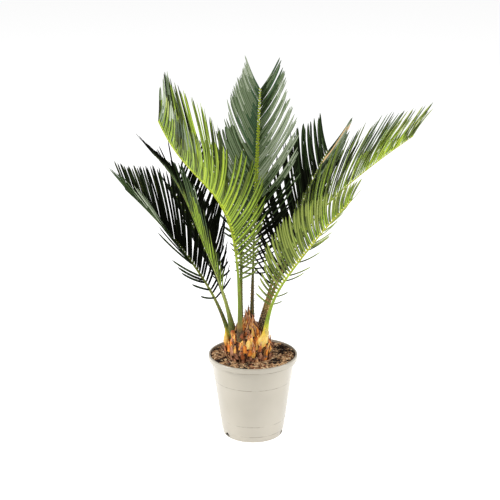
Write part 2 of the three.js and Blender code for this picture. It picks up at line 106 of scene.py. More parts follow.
# What a frond has unless it says otherwise. "spacing" sets the leaflets closer. "bow" is how much
# wider a leaflet sets out than its tip lies, "keel" lifts it off the blade's plane, and "tuck" lays
# it closer to the stalk. "scale" and "width" are shares of its length and width. The leaflets of a
# "group" lean together by "clump". "missing" is the share of them that is gone, and those between
# the two shares of the blade in "tan" are withered.
STALK_SLIM = 0.8  # the stalk is slimmer than its solid, and "slim" is the same along the blade
USUAL = dict(
    bare=0.2, roll=[0], bow=12, spacing=1, slim=STALK_SLIM, spines=0.6, tuck=[0], scale=[1], width=1,
    tip_angle=27, foot_angle=80, clump=2, group=7, missing=0, tan=(2, 2), base="olive",
    under="moss olive fern; olive leaf fern / olive olive fern")
FRONDS = []


def grow(name, **values):
    """Notes a frond as the solids have it, in millimetres and degrees.

    A value that ends in "_left" or "_right" holds for that half alone. "foot" is how far the frond's
    foot swells, reaches down the trunk and shifts sideways, and its colours from the bottom up.
    "stalk" names colours and the shares of the stalk where they are reached. The rows of "upper" and
    "under" follow each other along the blade. They name the shades of a leaflet's root, middle and
    tip, the last one as far as the tip, with alternatives after a stroke.
    """
    FRONDS.append({"name": "frond_" + name, **USUAL, **values})


# Rows that both faces of the sunlit half of the front left frond have: light shades that paint in its
# sunlight.
SUNLIT = (
    "fresh fresh leaf / lime fresh / lime fresh leaf / leaf olive moss; "
    "lime lime fresh / lime / lime fresh / fresh fresh leaf / leaf olive moss; "
    "lime fresh leaf / fresh fresh leaf / fresh leaf olive / leaf leaf olive / olive moss; "
    "fresh leaf pea / leaf leaf sage / leaf olive sage / olive moss fern")

grow(
    "back_tall", seat=(12, 60, 212), azimuth=76, lean=[2, 8, 9, 12], length=450, bare=0.22,
    leaflet=[120, 126, 132, 134, 114], roll=[-18], bow=8, spacing=0.84, slim=0.6, spines=1.4, keel=[34, 28],
    scale_right=[0.8, 0.92, 1, 1.02, 1, 0.94, 0.94, 1.08, 1], width=0.8, tip_angle=31,
    clump=0.5, clump_right=2.6, group=3, group_right=5, base="lime", foot=(0.5, 21, 0, "bark rust bark"),
    stalk="0 umber; 0.06 moss; 0.14 umber; 0.24 moss; 0.32 olive; 0.5 leaf; 1 lime",
    # Its upper rows grow pale towards the tips, painted sheen; on the right half the low rows are near-black,
    # painted shadow.
    upper="olive olive pea / moss olive pea; moss olive sage / fern sage; fern jade sage / jade sage mist; "
    "fern sage / jade sage; jade jade sage / sage sage mist; jade sage / jade sage mist; "
    "jade sage mist / jade sage; sage sage mist / jade sage mist",
    upper_right="night night deep; night night deep; night deep / night deep bottle; "
    "deep fern sage / deep fern mist; deep sage mist / fern sage mist; mist; mist / sage mist; "
    "sage mist / sage mist sage; fern sage mist / sage sage mist; bottle fern sage / fern jade sage; "
    "bottle fern jade / fern sage jade",
    under="moss olive sage; olive leaf sage")
grow(
    "front_left", seat=(32, 240, 216), azimuth=226, lean=[-1, 12, 46, 28], length=492,
    leaflet=[112, 136, 152, 156, 124], roll=[0, 14, 50, 54], bow=10, spacing=0.88, spines=0.2,
    keel=[34, 28], keel_left=[30, 50, 60, 64], scale_right=[1, 1.06, 1.1, 1.08, 1.06, 1.08, 1.1, 1.24, 0.7],
    width_right=1.2, tip_angle=31, foot_angle=60, clump=1.4, group=4, base="lime",
    foot=(0.5, 22, 0, "amber rust bark rust bark olive"),
    stalk="0 umber; 0.02 bronze; 0.05 olive; 0.2 leaf; 0.4 lime; 1 straw",
    upper="bottle fern; bottle fern sage",
    # Its right half's upper side and its underside take the light shades of SUNLIT, painted sunlight, and
    # pale tips, painted sheen; the near-black rows are painted shadow.
    upper_right="moss olive / night deep; leaf / fresh leaf; " + SUNLIT + "; "
    "leaf sage mist / leaf hay mist / fresh leaf mist / olive moss sage",
    under="olive / moss olive; leaf / leaf fresh leaf / fresh fresh leaf; " + SUNLIT + "; "
    "leaf sage mist / fresh leaf mist / leaf leaf hay",
    under_right="night deep; leaf fresh leaf / leaf olive sage; fresh leaf sage / leaf olive sage")
grow(
    "left", seat=(34, 205, 216), azimuth=196, lean=[10, 21, 22, 43], length=380, leaflet=[118, 118, 100],
    roll=[20, 24, 4], bow=8, spines=0.5, keel=[32, 28, 8], keel_left=[54, 62, 70, 74],
    keel_right=[32, 38, 46, 52, 56, 58, 20, 8], tuck_left=[12, 16, 20, 24, 24],
    tuck_right=[-2, -4, -6, -8, -10, -12, -14, -15, -16, -18, -20, -23, -24, 21, 23, 24, 24],
    scale_left=[1, 1, 0.9, 0.6, 0.5], scale_right=[1, 1.05, 1.08, 1.06, 1.02, 1, 0.92, 0.58, 0.9],
    tip_angle=26, foot_angle=44, foot_angle_left=34, clump=1.4, clump_left=0.8, group_right=4, base="moss",
    foot=(0.4, 21, 2, "orange amber rust bark olive moss"),
    stalk="0 moss; 0.05 olive; 0.12 pea; 0.3 hay; 0.45 leaf; 1 fern",
    # Its right half is near-black painted shadow on both faces.
    upper="night; night night deep; night deep",
    upper_left="leaf olive fern; fern fern sage; fern",
    under="leaf leaf olive / olive leaf olive; leaf leaf fern / leaf leaf moss / olive olive fern; "
    "leaf leaf fern / olive fern sage / leaf olive fern; leaf fern bottle / leaf olive fern; "
    "olive fern bottle / fern; bottle deep night / fern deep; deep night",
    under_right="night; night deep")
grow(
    "left_low", seat=(38, 178, 200), azimuth=168, lean=[16, 33, 42, 49], length=340,
    leaflet=[118, 130, 100], roll=[44, 24, 8], bow=6, keel=[34, 26], keel_left=[4, 20, 62, 70, 70],
    tuck_left=[-4, -2, 18, 21, 21], scale_left=[0.72, 0.8, 0.8, 0.9, 1.15], width_right=1.06, tip_angle=28,
    foot_angle=66, foot_angle_left=58, clump=1.2, group=3.4, missing_left=0.2, base="moss",
    foot=(0.7, 24, 8, "orange amber cream yellow leaf moss"),
    stalk="0 straw; 0.04 olive; 0.12 moss; 0.24 pea; 1 fern",
    # Its right half is near-black painted shadow on both faces; the underside of its left half is dark low
    # down, painted shadow, and the sage and mist further on are painted sheen.
    upper="night; night / night deep; night deep / night deep moss / night deep bottle; "
    "deep bottle / deep moss / deep deep bottle",
    upper_left="deep bottle; bottle fern; fern sage",
    under="night deep / deep moss; deep moss bottle / bottle fern bottle; "
    "fern sage fern / bottle fern sage; fern mist sage / fern sage mist / bottle sage; "
    "fern sage / bottle sage fern; bottle fern / deep bottle fern",
    under_right="night; night deep")
grow(
    "front_right", seat=(40, 322, 212), azimuth=332, lean=[6, 32, 37, 42], length=330, bare=0.16,
    leaflet=[96, 104, 76], roll=[40, 30, 16], spines=0.3, keel=[30, 26], keel_left=[6, 4, 14, 22],
    tuck_left=[-4, -22, -24, -6], tuck_right=[0, -14, -15, -8, 9], scale_left=[0.56, 0.46, 0.42, 0.66],
    scale_right=[0.94, 0.86, 0.86, 0.92, 1.16], width_left=0.7, foot_angle=72, clump=2.2, clump_left=5,
    missing_left=0.45, base="straw", foot=(1.25, 28, -12, "amber cream cream yellow straw straw"),
    stalk="0 cream; 0.015 cream; 0.04 straw; 0.08 leaf; 0.25 fresh; 0.5 lime; 1 straw",
    upper="deep moss; moss moss olive / deep moss; olive pea; olive pea",
    upper_right="olive pea hay / pea pea hay",
    under="moss olive / bottle moss; moss olive pea; olive pea; leaf leaf pea",
    under_right="olive olive pea / moss olive pea; pea / olive pea; pea pea hay / olive olive pea / pea; "
    "leaf pea / olive olive pea / pea pea hay; leaf pea / fresh leaf pea / olive olive pea; "
    "fresh leaf pea / leaf pea hay / leaf olive pea")
grow(
    "right", seat=(24, 350, 214), azimuth=352, lean=[13, 28, 46, 54], length=478, bare=0.3,
    leaflet=[110, 124, 132, 118], bow=13, spines=1.2, keel=[36, 40], width=0.92, tip_angle=29, clump=2.2,
    group=5, base="lime", foot=(0.7, 21, 0, "rust bark stub stub"),
    stalk="0 soot; 0.03 soot; 0.055 umber; 0.09 bronze; 0.26 bronze; 0.32 olive; 0.5 lime; 1 straw",
    upper="leaf olive moss / fresh leaf olive; leaf leaf olive / fresh leaf / moss moss deep; "
    "leaf leaf sage / fresh leaf olive / olive moss fern; leaf olive hay / leaf olive sage",
    under="olive leaf olive / fresh fresh leaf; fresh leaf olive / lime fresh leaf / moss moss deep; "
    "fresh leaf olive / leaf olive moss / leaf leaf olive / olive moss deep; "
    "lime fresh olive / leaf olive moss / leaf olive sage / moss olive bottle; "
    "lime fresh pea / leaf olive sage / leaf moss olive; lime leaf pea / leaf olive hay / olive moss sage")
grow(
    "right_back", seat=(28, 45, 205), azimuth=38, lean=[18, 25, 30, 38], length=365, bare=0.22,
    leaflet=[120, 132, 126], roll=[-10, -16, -18], bow=8, spines=1, keel=[30, 28], tuck_left=[0, 0, 0, -7],
    tuck_right=[0, 0, 2, 14], scale_left=[1, 1, 1, 1.06, 1], scale_right=[1, 1, 1.05, 1.1], width_right=1.3,
    tip_angle=30, foot_angle=66, clump_right=2.4, group=4, tan_right=(0.88, 0.93),
    foot=(0.6, 21, 0, "bark bark stub"),
    stalk="0 soot; 0.04 soot; 0.08 umber; 0.13 bronze; 0.4 moss; 1 lime",
    # Its upper side is near-black painted shadow low down; the sage and mist in its right half's upper rows
    # are painted sheen.
    upper="night; night / night night deep; night night deep / night deep; "
    "deep bottle fern / night deep bottle; bottle fern / bottle fern bottle / deep bottle fern",
    upper_right="night night deep; night deep; night fern sage / deep bottle sage; "
    "bottle sage mist / deep jade sage / bottle fern sage",
    under="moss moss bottle; moss olive fern")
grow(
    "back", seat=(34, 116, 208), azimuth=88, lean=[5, 18, 38, 56], length=372, bare=0.42,
    leaflet=[104, 112, 92], keel=[32, 24], foot=(0.6, 21, 0, "rust bark bark"),
    stalk="0 umber; 0.12 olive; 0.4 olive; 1 leaf",
    upper="olive olive fern; moss fern / bottle fern jade")
grow(
    "back_left", seat=(36, 147, 206), azimuth=138, lean=[18, 32, 36, 46], length=300, bare=0.3,
    leaflet=[76, 82, 70], keel=[34, 26], foot=(0.6, 21, 0, "rust amber bark"),
    stalk="0 umber; 0.12 olive; 0.4 fern; 1 leaf",
    # Its upper side is near-black painted shadow.
    upper="night deep; deep bottle")

# The darker shade of the margins of a leaflet of each shade, painted shade along its edges; the others have
# their own.
SHADED_MARGINS = {
    "deep": "night", "bottle": "deep", "fern": "deep", "jade": "bottle", "sage": "fern",
    "mist": "sage", "moss": "deep", "olive": "moss", "pea": "olive", "leaf": "moss",
    "fresh": "olive", "lime": "leaf", "straw": "lime", "hay": "olive",
}

# Shades as red, green and blue of 255, then the roughness and the strength of the gloss.
SHADES = {
    # The first shade is near-black, painted shadow on leaflets that stand in shade; deep is dark green,
    # mostly painted shade, on leaflets in shade and on the margins of darker shades.
    "night": (14, 16, 8, 0.5, 0.04),
    "deep": (24, 32, 13, 0.46, 0.08),
    "bottle": (42, 60, 26, 0.42, 0.2),
    "fern": (70, 92, 48, 0.38, 0.3),
    "jade": (66, 102, 64, 0.36, 0.35),
    # sage and mist are the grey-green and pale of painted sheen on glossy leaflets.
    "sage": (126, 142, 108, 0.36, 0.35),
    "mist": (182, 192, 166, 0.36, 0.35),
    "moss": (72, 84, 28, 0.45, 0.2),
    "olive": (108, 124, 44, 0.45, 0.25),
    "pea": (152, 166, 74, 0.45, 0.3),
    "hay": (178, 190, 106, 0.45, 0.3),
    "leaf": (140, 168, 46, 0.45, 0.3),
    "fresh": (164, 194, 52, 0.45, 0.3),
    "lime": (186, 206, 54, 0.45, 0.3),
    "straw": (214, 214, 64, 0.45, 0.3),
    "soot": (34, 26, 16, 0.7, 0.2),
    "umber": (84, 62, 34, 0.65, 0.2),
    "bronze": (156, 124, 56, 0.6, 0.2),
    "tan": (240, 198, 146, 0.65, 0.2),
    "cream": (250, 224, 128, 0.55, 0.25),
    "spine": (112, 84, 44, 0.6, 0.2),
}

BLACK = (0, 0, 0, 1)
WHITE = (1, 1, 1, 1)


def linear(value):
    value /= 255.0
    return value / 12.92 if value <= 0.04045 else ((value + 0.055) / 1.055) ** 2.4


def rgba(red, green, blue):
    return (linear(red), linear(green), linear(blue), 1.0)


def fill(inputs, **values):
    """Sets a node's inputs. An underscore stands for a space in a name."""
    for key, value in values.items():
        inputs[key.replace("_", " ")].default_value = value


@cache
def plain(name, colour, roughness, specular):
    """A material of one colour."""
    made = Look(name, roughness, specular)
    fill(made.shader, Base_Color=rgba(*colour))
    made.material.diffuse_color = rgba(*colour)
    return made.material


def shade(name):
    *colour, roughness, specular = SHADES[name]
    return plain("leaf_" + name, tuple(colour), roughness, specular)


class Look:
    """Builds the nodes of one material."""

    def __init__(self, name, roughness, specular=0.5):
        self.material = bpy.data.materials.new(name)
        self.material.use_nodes = True
        self.tree = self.material.node_tree
        self.shader = self.tree.nodes["Principled BSDF"].inputs
        fill(self.shader, Roughness=roughness, Specular_IOR_Level=specular)

    def node(self, kind, inputs, **settings):
        """A new node's outputs. Each input is a plain value or another node's output."""
        made = self.tree.nodes.new("ShaderNode" + kind)
        for key, value in settings.items():
            setattr(made, key, value)
        for key, value in inputs.items():
            if isinstance(value, bpy.types.NodeSocket):
                self.tree.links.new(value, made.inputs[key])
            else:
                made.inputs[key].default_value = value
        return made.outputs

    def noise(self, scale, detail, stretch=(1, 1, 1)):
        """Noise in the object's own coordinates."""
        place = self.node("TexCoord", {})["Object"]
        place = self.node("Mapping", {"Vector": place, "Scale": stretch})["Vector"]
        return self.node("TexNoise", {"Vector": place, "Scale": scale, "Detail": detail})["Fac"]

    def ramp(self, factor, stops):
        """The colour at a factor, from rising positions and the colours there."""
        made = self.node("ValToRGB", {"Fac": factor})["Color"]
        elements = made.node.color_ramp.elements
        elements.remove(elements[-1])
        for number, (position, colour) in enumerate(stops):
            element = elements.new(position) if number else elements[0]
            element.position = position
            element.color = colour
        return made

    def mix(self, factor, first, second, blend="MIX"):
        return self.node("Mix", {0: factor, 6: first, 7: second}, data_type="RGBA", blend_type=blend)[2]

    def finish(self, colour, height, strength, distance):
        """Gives the shader its colour and a bump of some height."""
        bump = self.node("Bump", {"Height": height, "Strength": strength, "Distance": distance})
        self.tree.links.new(colour, self.shader["Base Color"])
        self.tree.links.new(bump["Normal"], self.shader["Normal"])
        return self.material


def wavering(made, first, second, scale, stretch, contrast):
    """A grain, and the colour that it gives between two tones."""
    grain = made.noise(scale, 6.0, stretch)
    stops = [(0.5 - contrast / 2, rgba(*first)), (0.5 + contrast / 2, rgba(*second))]
    return grain, made.ramp(grain, stops)


@cache
def mottled(name, first, second, scale, roughness, bump, stretch, contrast):
    """A material that wavers between two tones, with a rough surface."""
    made = Look(name, roughness, 0.3)
    grain, colour = wavering(made, first, second, scale, stretch, contrast)
    return made.finish(colour, grain, bump, 0.001)


def ramped(name, stops, scurf, grain_colour=(150, 150, 150)):
    """Colours that change along a stalk, broken up by a fine grain and by specks of scurf."""
    made = Look(name, 0.5, 0.3)
    grain, tone = wavering(made, grain_colour, (255, 255, 255), 300, (1, 1, 0.3), 0.5)
    share = made.node("Attribute", {}, attribute_name="along")["Fac"]
    colour = made.ramp(share, [(place, rgba(*c)) for place, c in stops])
    colour = made.mix(0.7, colour, tone, "MULTIPLY")
    specks = made.ramp(made.noise(420.0, 2.0), [(0.56, BLACK), (0.64, WHITE)])
    return made.finish(made.mix(specks, colour, rgba(*scurf)), grain, 0.3, 0.001)


def mesh_object(name, points, faces):
    """A new object in the scene."""
    mesh = bpy.data.meshes.new(name)
    mesh.from_pydata(np.asarray(points, float).tolist(), [], faces)
    made = bpy.data.objects.new(name, mesh)
    bpy.context.scene.collection.objects.link(made)
    return made


class Sheet:
    """Gathers faces of many small shapes into one mesh."""

    def __init__(self, materials):
        self.materials = materials
        self.points, self.faces, self.slots, self.count = [], [], [], 0

    def add(self, points, faces, slots=0):
        """Adds faces in their slots, or all in the one slot given."""
        points = np.asarray(points, float).reshape(-1, 3)
        self.points.append(points)
        self.faces.extend([tuple(self.count + i for i in face) for face in faces])
        self.slots.extend(slots if isinstance(slots, list) else [slots] * len(faces))
        self.count += len(points)

    def piece(self, name, slot, node=None, smooth=55):
        """The piece of all faces. It replaces its slot's node, another, or with "" none."""
        made = mesh_object(name, np.concatenate(self.points), self.faces)
        mesh = made.data
        for material in self.materials:
            mesh.materials.append(material)
        mesh.polygons.foreach_set("material_index", np.array(self.slots, np.int32))
        mesh.update()
        mesh.shade_smooth()
        mesh.set_sharp_from_angle(angle=math.radians(smooth))
        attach(made, "root")
        if node != "":
            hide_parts(node or slot)
        return made


def tube_faces(rings, sides):
    """Quads between rings, then the two end caps. Also the ring and side of each face."""
    places = [(i, j) for i in range(rings - 1) for j in range(sides)]
    faces = []
    for i, j in places:
        a, b, k = i * sides, (i + 1) * sides, (j + 1) % sides
        faces.append((a + j, a + k, b + k, b + j))
    first, last = range(sides), range((rings - 1) * sides, rings * sides)
    return faces + [tuple(first)[::-1], tuple(last)], places + [(0, 0), (rings - 2, 0)]


def turns(count):
    """Angles evenly spaced round a circle."""
    return np.arange(count) / count * TURN


def polar(r, angle):
    return r * math.cos(angle), r * math.sin(angle)


def compass(azimuth):
    """The level directions outward at an azimuth and across it."""
    x, y = polar(1, azimuth)
    return np.array([x, y, 0.0]), np.array([-y, x, 0.0])


# ---- the frond rule

def along(knots, s):
    """A smooth value at share s of evenly spaced knots; one knot is a constant."""
    knots = np.asarray(knots, float)
    s = np.asarray(s, float)
    if len(knots) == 1:
        return np.full(s.shape, knots[0])
    last = len(knots) - 1
    u = np.clip(s, 0, 1) * last
    i = np.minimum(np.floor(u).astype(int), last - 1)
    w = u - i
    padded = np.concatenate([[2 * knots[0] - knots[1]], knots, [2 * knots[-1] - knots[-2]]])
    p0, p1, p2, p3 = (padded[i + k] for k in range(4))
    square = (2 * p0 - 5 * p1 + 4 * p2 - p3) * w * w
    cube = (3 * p1 - p0 - 3 * p2 + p3) * w * w * w
    return 0.5 * (2 * p1 + (p2 - p0) * w + square + cube)


def ease(t):
    t = np.clip(t, 0, 1)
    return t * t * (3 - 2 * t)


def unit(v):
    return v / np.linalg.norm(v, axis=-1, keepdims=True)


def frame_at(frond, s):
    """The direction, upper side and left side at share s of the stalk."""
    lean = np.radians(along(frond["lean"], s))[..., None]
    roll = np.radians(along(frond["roll"], s))[..., None]
    flat = compass(math.radians(frond["azimuth"]))[0]
    ahead = np.sin(lean) * flat + np.cos(lean) * UP
    upright = -np.cos(lean) * flat + np.sin(lean) * UP
    level = np.cross(upright, ahead)
    upper = upright * np.cos(roll) + level * np.sin(roll)
    left = level * np.cos(roll) - upright * np.sin(roll)
    return ahead, upper, left


def stalk_radius(s):
    taper = STALK_TIP_RADIUS + (STALK_RADIUS - STALK_TIP_RADIUS) * (1 - s) ** 1.1
    return taper + STALK_FLARE * np.exp(-14 * s)


def stalk_line(frond):
    radius, azimuth, height = frond["seat"]
    start = np.array([*polar(radius, math.radians(azimuth)), height]) * MM
    start[0] += TRUNK_X
    ahead = frame_at(frond, np.arange(STALK_PARTS) / STALK_PARTS)[0]
    steps = ahead * frond["length"] * MM / STALK_PARTS
    return np.concatenate([[start], start + np.cumsum(steps, axis=0)])


def point_at(line, s):
    u = np.clip(s, 0, 1) * (len(line) - 1)
    knots = np.arange(len(line))
    return np.stack([np.interp(u, knots, line[:, k]) for k in range(3)], axis=-1)


def length_share(t):
    grown = FOOT_SHARE + (1 - FOOT_SHARE) * ease(t / GROWN_BY)
    return grown * (1 - (1 - TIP_SHARE) * ease((t - SHRINK_FROM) / (1 - SHRINK_FROM)))


# A leaflet's half widths at its stations, and its section: across in half widths, then up in
# widths. The margins turn down, and a midrib stands out below.
STATIONS = np.array([0, 0.04, 0.13, 0.3, 0.44, 0.57, 0.7, 0.82, 0.92, 1.0])
BREADTHS = np.array([0.55, 0.9, 1.0, 1.0, 1.0, 1.0, 0.97, 0.91, 0.72, 0.16])
SHADE_ENDS = np.array([0.28, 0.62])  # where a leaflet's shades change, give or take SPREAD
SPREAD = 0.16
SECTION = np.array([
    (-1.0, -0.14), (-0.5, 0.05), (0.0, 0.0), (0.5, 0.05),
    (1.0, -0.14), (0.5, -0.06), (0.0, -0.20), (-0.5, -0.06),
])
TOP_SIDES = 4
MARGIN_SIDES = (0, 3, 4, 7)
LOUVRE = 15  # degrees that a leaflet turns to lie over its neighbour
# How much the measures of leaflets vary: degrees, or shares of the spacing and of the length.
VARIES = {"place": 0.10, "angle": 0.6, "rise": 1.4, "bow": 2, "twist": 4, "reach": 0.02, "curve": 0.012}


def half_of(frond, side):
    """A frond with the own values of its left half, side 1, or its right half, side -1."""
    end = "_left" if side > 0 else "_right"
    return {**frond, **{key.removesuffix(end): frond[key] for key in frond if key.endswith(end)}}


def rows_of(half, face):
    """The rows of shades of one face, each a list of alternatives of three shades."""
    rows = [[a.split() for a in row.split("/")] for row in half[face].split(";")]
    return [[a + a[-1:] * (3 - len(a)) for a in row] for row in rows]


def leaflet_shades(frond):
    used = {frond["base"], *SHADED_MARGINS.values()}
    for side in (1, -1):
        half = half_of(frond, side)
        for row in rows_of(half, "upper") + rows_of(half, "under"):
            used.update(*row)
    return sorted(used) + ["tan"]


def leaflet_slots(places, side, bands, picked, margins):
    """The slot of each face: the upper or lower shade of its band, or on the margins a darker, painted shade.
    """
    slots = []
    for ring, j in places:
        side_of = (6 - j) % 8 if side > 0 else j
        slot = picked[0 if side_of < TOP_SIDES else 1][bands[ring]]
        slots.append(margins[slot] if side_of in MARGIN_SIDES else slot)
    return slots


def add_leaflets(sheet, frond, line, names, seed):
    rng = np.random.default_rng(seed)
    bare = frond["bare"]
    pairs = int(round(frond["length"] * MM * (1 - bare) / LEAFLET_SPACING / frond["spacing"]))
    faces, places = tube_faces(len(STATIONS), len(SECTION))
    base = names.index(frond["base"])
    # the margins take a darker shade, painted shade
    margins = [names.index(SHADED_MARGINS.get(n, n)) for n in names]
    w = STATIONS[:, None]

    def vary(key):
        return VARIES[key] * rng.standard_normal(pairs)

    for side in (1, -1):
        t = (np.arange(pairs) + 0.5 + vary("place")) / pairs
        t = np.clip(t, 0.002, 0.998) ** CROWDING
        s = bare + (1 - bare) * t
        half = half_of(frond, side)
        ahead, upper, left = frame_at(frond, s)
        phase = np.cumsum(rng.uniform(0.6, 1.4, pairs)) * TURN / half["group"]
        angle = half["tip_angle"] + (half["foot_angle"] - half["tip_angle"]) * (1 - t) ** SWEEP
        angle = angle - along(half["tuck"], t) + half["clump"] * np.sin(phase) + vary("angle")
        rise = along(half["keel"], t) + vary("rise")
        angle, rise = np.radians(angle)[:, None], np.radians(rise)[:, None]
        outward = left * side * np.cos(rise) + upper * np.sin(rise)
        axis = ahead * np.cos(angle) + outward * np.sin(angle)
        inward = unit(ahead - axis * np.sum(ahead * axis, axis=1, keepdims=True))
        flat = np.cross(axis, inward) * -side
        bow = np.radians(frond["bow"] + vary("bow"))
        twist = np.radians(LOUVRE + vary("twist"))[:, None]
        across = inward * np.cos(twist) + flat * np.sin(twist)
        face = flat * np.cos(twist) - inward * np.sin(twist)
        reach = along(frond["leaflet"], t) * MM * length_share(t)
        reach = reach * along(half["scale"], t) * (1 + vary("reach"))
        width = LEAFLET_WIDTH * half["width"] * length_share(t) ** 0.35
        bend = upper * 0.6 + ahead * 0.4
        curve = LEAFLET_CURVE + vary("curve")
        radius = stalk_radius(s)[:, None]
        root = point_at(line, s) + left * side * radius * 0.4 + upper * radius * 0.25
        rank = rng.uniform(-0.5, 0.5, pairs)
        choice = rng.uniform(0, 1, (pairs, 2))
        ends = SHADE_ENDS + SPREAD * rng.uniform(-1, 1, (pairs, 1))
        ends = ends + 0.5 * SPREAD * rng.uniform(-1, 1, (pairs, 2))
        kept = rng.uniform(0, 1, pairs) >= half["missing"]
        shades = [rows_of(half, "upper"), rows_of(half, "under")]
        for i in np.flatnonzero(kept):
            middle = root[i] + axis[i] * reach[i] * w + bend[i] * reach[i] * curve[i] * w * w
            sag = axis[i] * (1 - math.cos(bow[i])) + inward[i] * math.sin(bow[i])
            middle = middle - sag * reach[i] * (w - w * w)
            reached = (BREADTHS * width[i] / 2)[:, None, None]
            points = middle[:, None, :] + across[i] * SECTION[None, :, :1] * reached
            points = points + face[i] * SECTION[None, :, 1:] * reached * 2
            if side > 0:
                points = points[:, ::-1]
            picked = []
            for rows, chance in zip(shades, choice[i]):
                row = rows[int(np.clip(round(t[i] * len(rows) - 0.5 + rank[i]), 0, len(rows) - 1))]
                picked.append([names.index(n) for n in row[int(chance * len(row))]])
            bands = np.searchsorted(ends[i], (STATIONS[:-1] + STATIONS[1:]) / 2)
            slots = leaflet_slots(places, side, bands, picked, margins)
            if half["tan"][0] < t[i] < half["tan"][1]:
                slots = [names.index("tan")] * len(faces)
            slots = [slot if ring else base for slot, (ring, _) in zip(slots, places)]
            sheet.add(points, faces, slots)


STALK_SIDES = 12
STALK_RINGS = 72


def stalk_rings(frond, line):
    """Rings from the sunk foot to the tip, and the share of the stalk at each."""
    s = np.concatenate([[0.0, 0.0], np.linspace(0.0, 1.0, STALK_RINGS) ** 1.15])
    ahead, upper, left = frame_at(frond, s)
    middle = point_at(line, s)
    middle[0] -= ahead[0] * FOOT_DEPTH
    middle[1] -= ahead[1] * FOOT_DEPTH * 0.45
    blade = ease((s - frond["bare"] * 0.7) / 0.12)
    radius = stalk_radius(s) * (STALK_SLIM * (1 - blade) + frond["slim"] * blade)
    half = radius * (0.75 * (1 - blade) + 0.4 * blade)
    deep = radius * (STALK_KEEL * (1 - 0.35 * blade))
    rings = []
    for turn in turns(STALK_SIDES):
        height = np.where(math.sin(turn) > 0, half, deep) * math.sin(turn)
        sideways = radius * math.cos(turn)
        rings.append(middle - left * sideways[:, None] + upper * height[:, None])
    return np.stack(rings, axis=1)[:, ::-1], s


SCURF_TAN = (204, 172, 112)
SCURF_BROWN = (124, 104, 48)


def ramp_piece(name, slot, node, rings, shares, *colours):
    """A tube in the colours of `ramped`, which run by the share that each ring has."""
    sides = len(rings[0])
    sheet = Sheet([ramped(name, *colours)])
    sheet.add(rings, tube_faces(len(rings), sides)[0])
    made = sheet.piece(name, slot, node)
    share = made.data.attributes.new("along", "FLOAT", "POINT")
    share.data.foreach_set("value", np.repeat(shares, sides).astype(np.float32))


def add_stalk(frond, line):
    stops = [stop.split() for stop in frond["stalk"].split(";")]
    stops = [(float(place), SHADES[name][:3]) for place, name in stops]
    scurf = SCURF_TAN if stops[1][1][1] < 80 else SCURF_BROWN
    ramp_piece("stalk_" + frond["name"], "frond", frond["name"], *stalk_rings(frond, line), stops, scurf)


def cone(root, tip, radius, sides=5):
    axis = unit(tip - root)
    helper = UP if abs(axis[2]) < 0.9 else np.array([1.0, 0.0, 0.0])
    first = unit(np.cross(axis, helper))
    second = np.cross(axis, first)
    turn = turns(sides)
    ring = root + radius * (np.outer(np.cos(turn), first) + np.outer(np.sin(turn), second))
    points = np.concatenate([ring, [tip]])
    faces = [(j, (j + 1) % sides, sides) for j in range(sides)] + [tuple(range(sides))[::-1]]
    return points, faces


SPINE_SPACING = 0.0062
SPINE_RADIUS = 0.00055
SPINES_FROM = 0.035  # share of the stalk


def add_spines(frond, line, seed):
    rng = np.random.default_rng(seed)
    sheet = Sheet([shade("spine")])
    count = int(frond["length"] * MM * frond["bare"] / SPINE_SPACING)
    for side in (1, -1):
        for i in range(count):
            s = frond["bare"] * (i + 1 + 0.3 * rng.uniform(-1, 1)) / (count + 1)
            if s < SPINES_FROM:
                continue
            ahead, upper, left = frame_at(frond, s)
            radius = stalk_radius(s)
            root = point_at(line, s) + left * side * radius * 0.85 + upper * radius * 0.3
            size = (0.0018 + 0.0022 * i / count) * (0.5 + 0.5 * frond["spines"])
            size *= rng.uniform(0.8, 1.2)
            way = unit(left * side + upper * rng.uniform(0.1, 0.5) + ahead * rng.uniform(0.1, 0.6))
            points, faces = cone(root, root + way * (size + radius * 0.2), SPINE_RADIUS)
            sheet.add(points, faces)
    sheet.piece("spines_" + frond["name"], "frond", "")


def make_fronds():
    for number, frond in enumerate(FRONDS):
        line = stalk_line(frond)
        add_stalk(frond, line)
        add_spines(frond, line, 500 + number)
        names = leaflet_shades(frond)
        sheet = Sheet([shade(n) for n in names])
        add_leaflets(sheet, frond, line, names, 100 + number)
        sheet.piece("leaflets_" + frond["name"], "frond", frond["name"])


# ---- pot

def wall_radius(z):
    shoulders = sum(ease((z - height) / 0.001) for height in SHOULDER_HEIGHTS)
    plain_wall = WALL_FOOT_RADIUS + (WALL_TOP_RADIUS - WALL_FOOT_RADIUS) * z / POT_HEIGHT
    return plain_wall + SHOULDER * (shoulders - len(SHOULDER_HEIGHTS))


def inner_radius(z):
    top = RIM_INNER_RADIUS - WALL
    foot = WALL_FOOT_RADIUS - SHOULDER * len(SHOULDER_HEIGHTS) - WALL
    return foot + (top - foot) * z / (POT_HEIGHT - RIM_HEIGHT)


def arc(centre_r, centre_z, radius, start, end, steps):
    angles = np.radians(np.linspace(start, end, steps))
    return [(centre_r + radius * math.cos(a), centre_z + radius * math.sin(a)) for a in angles]


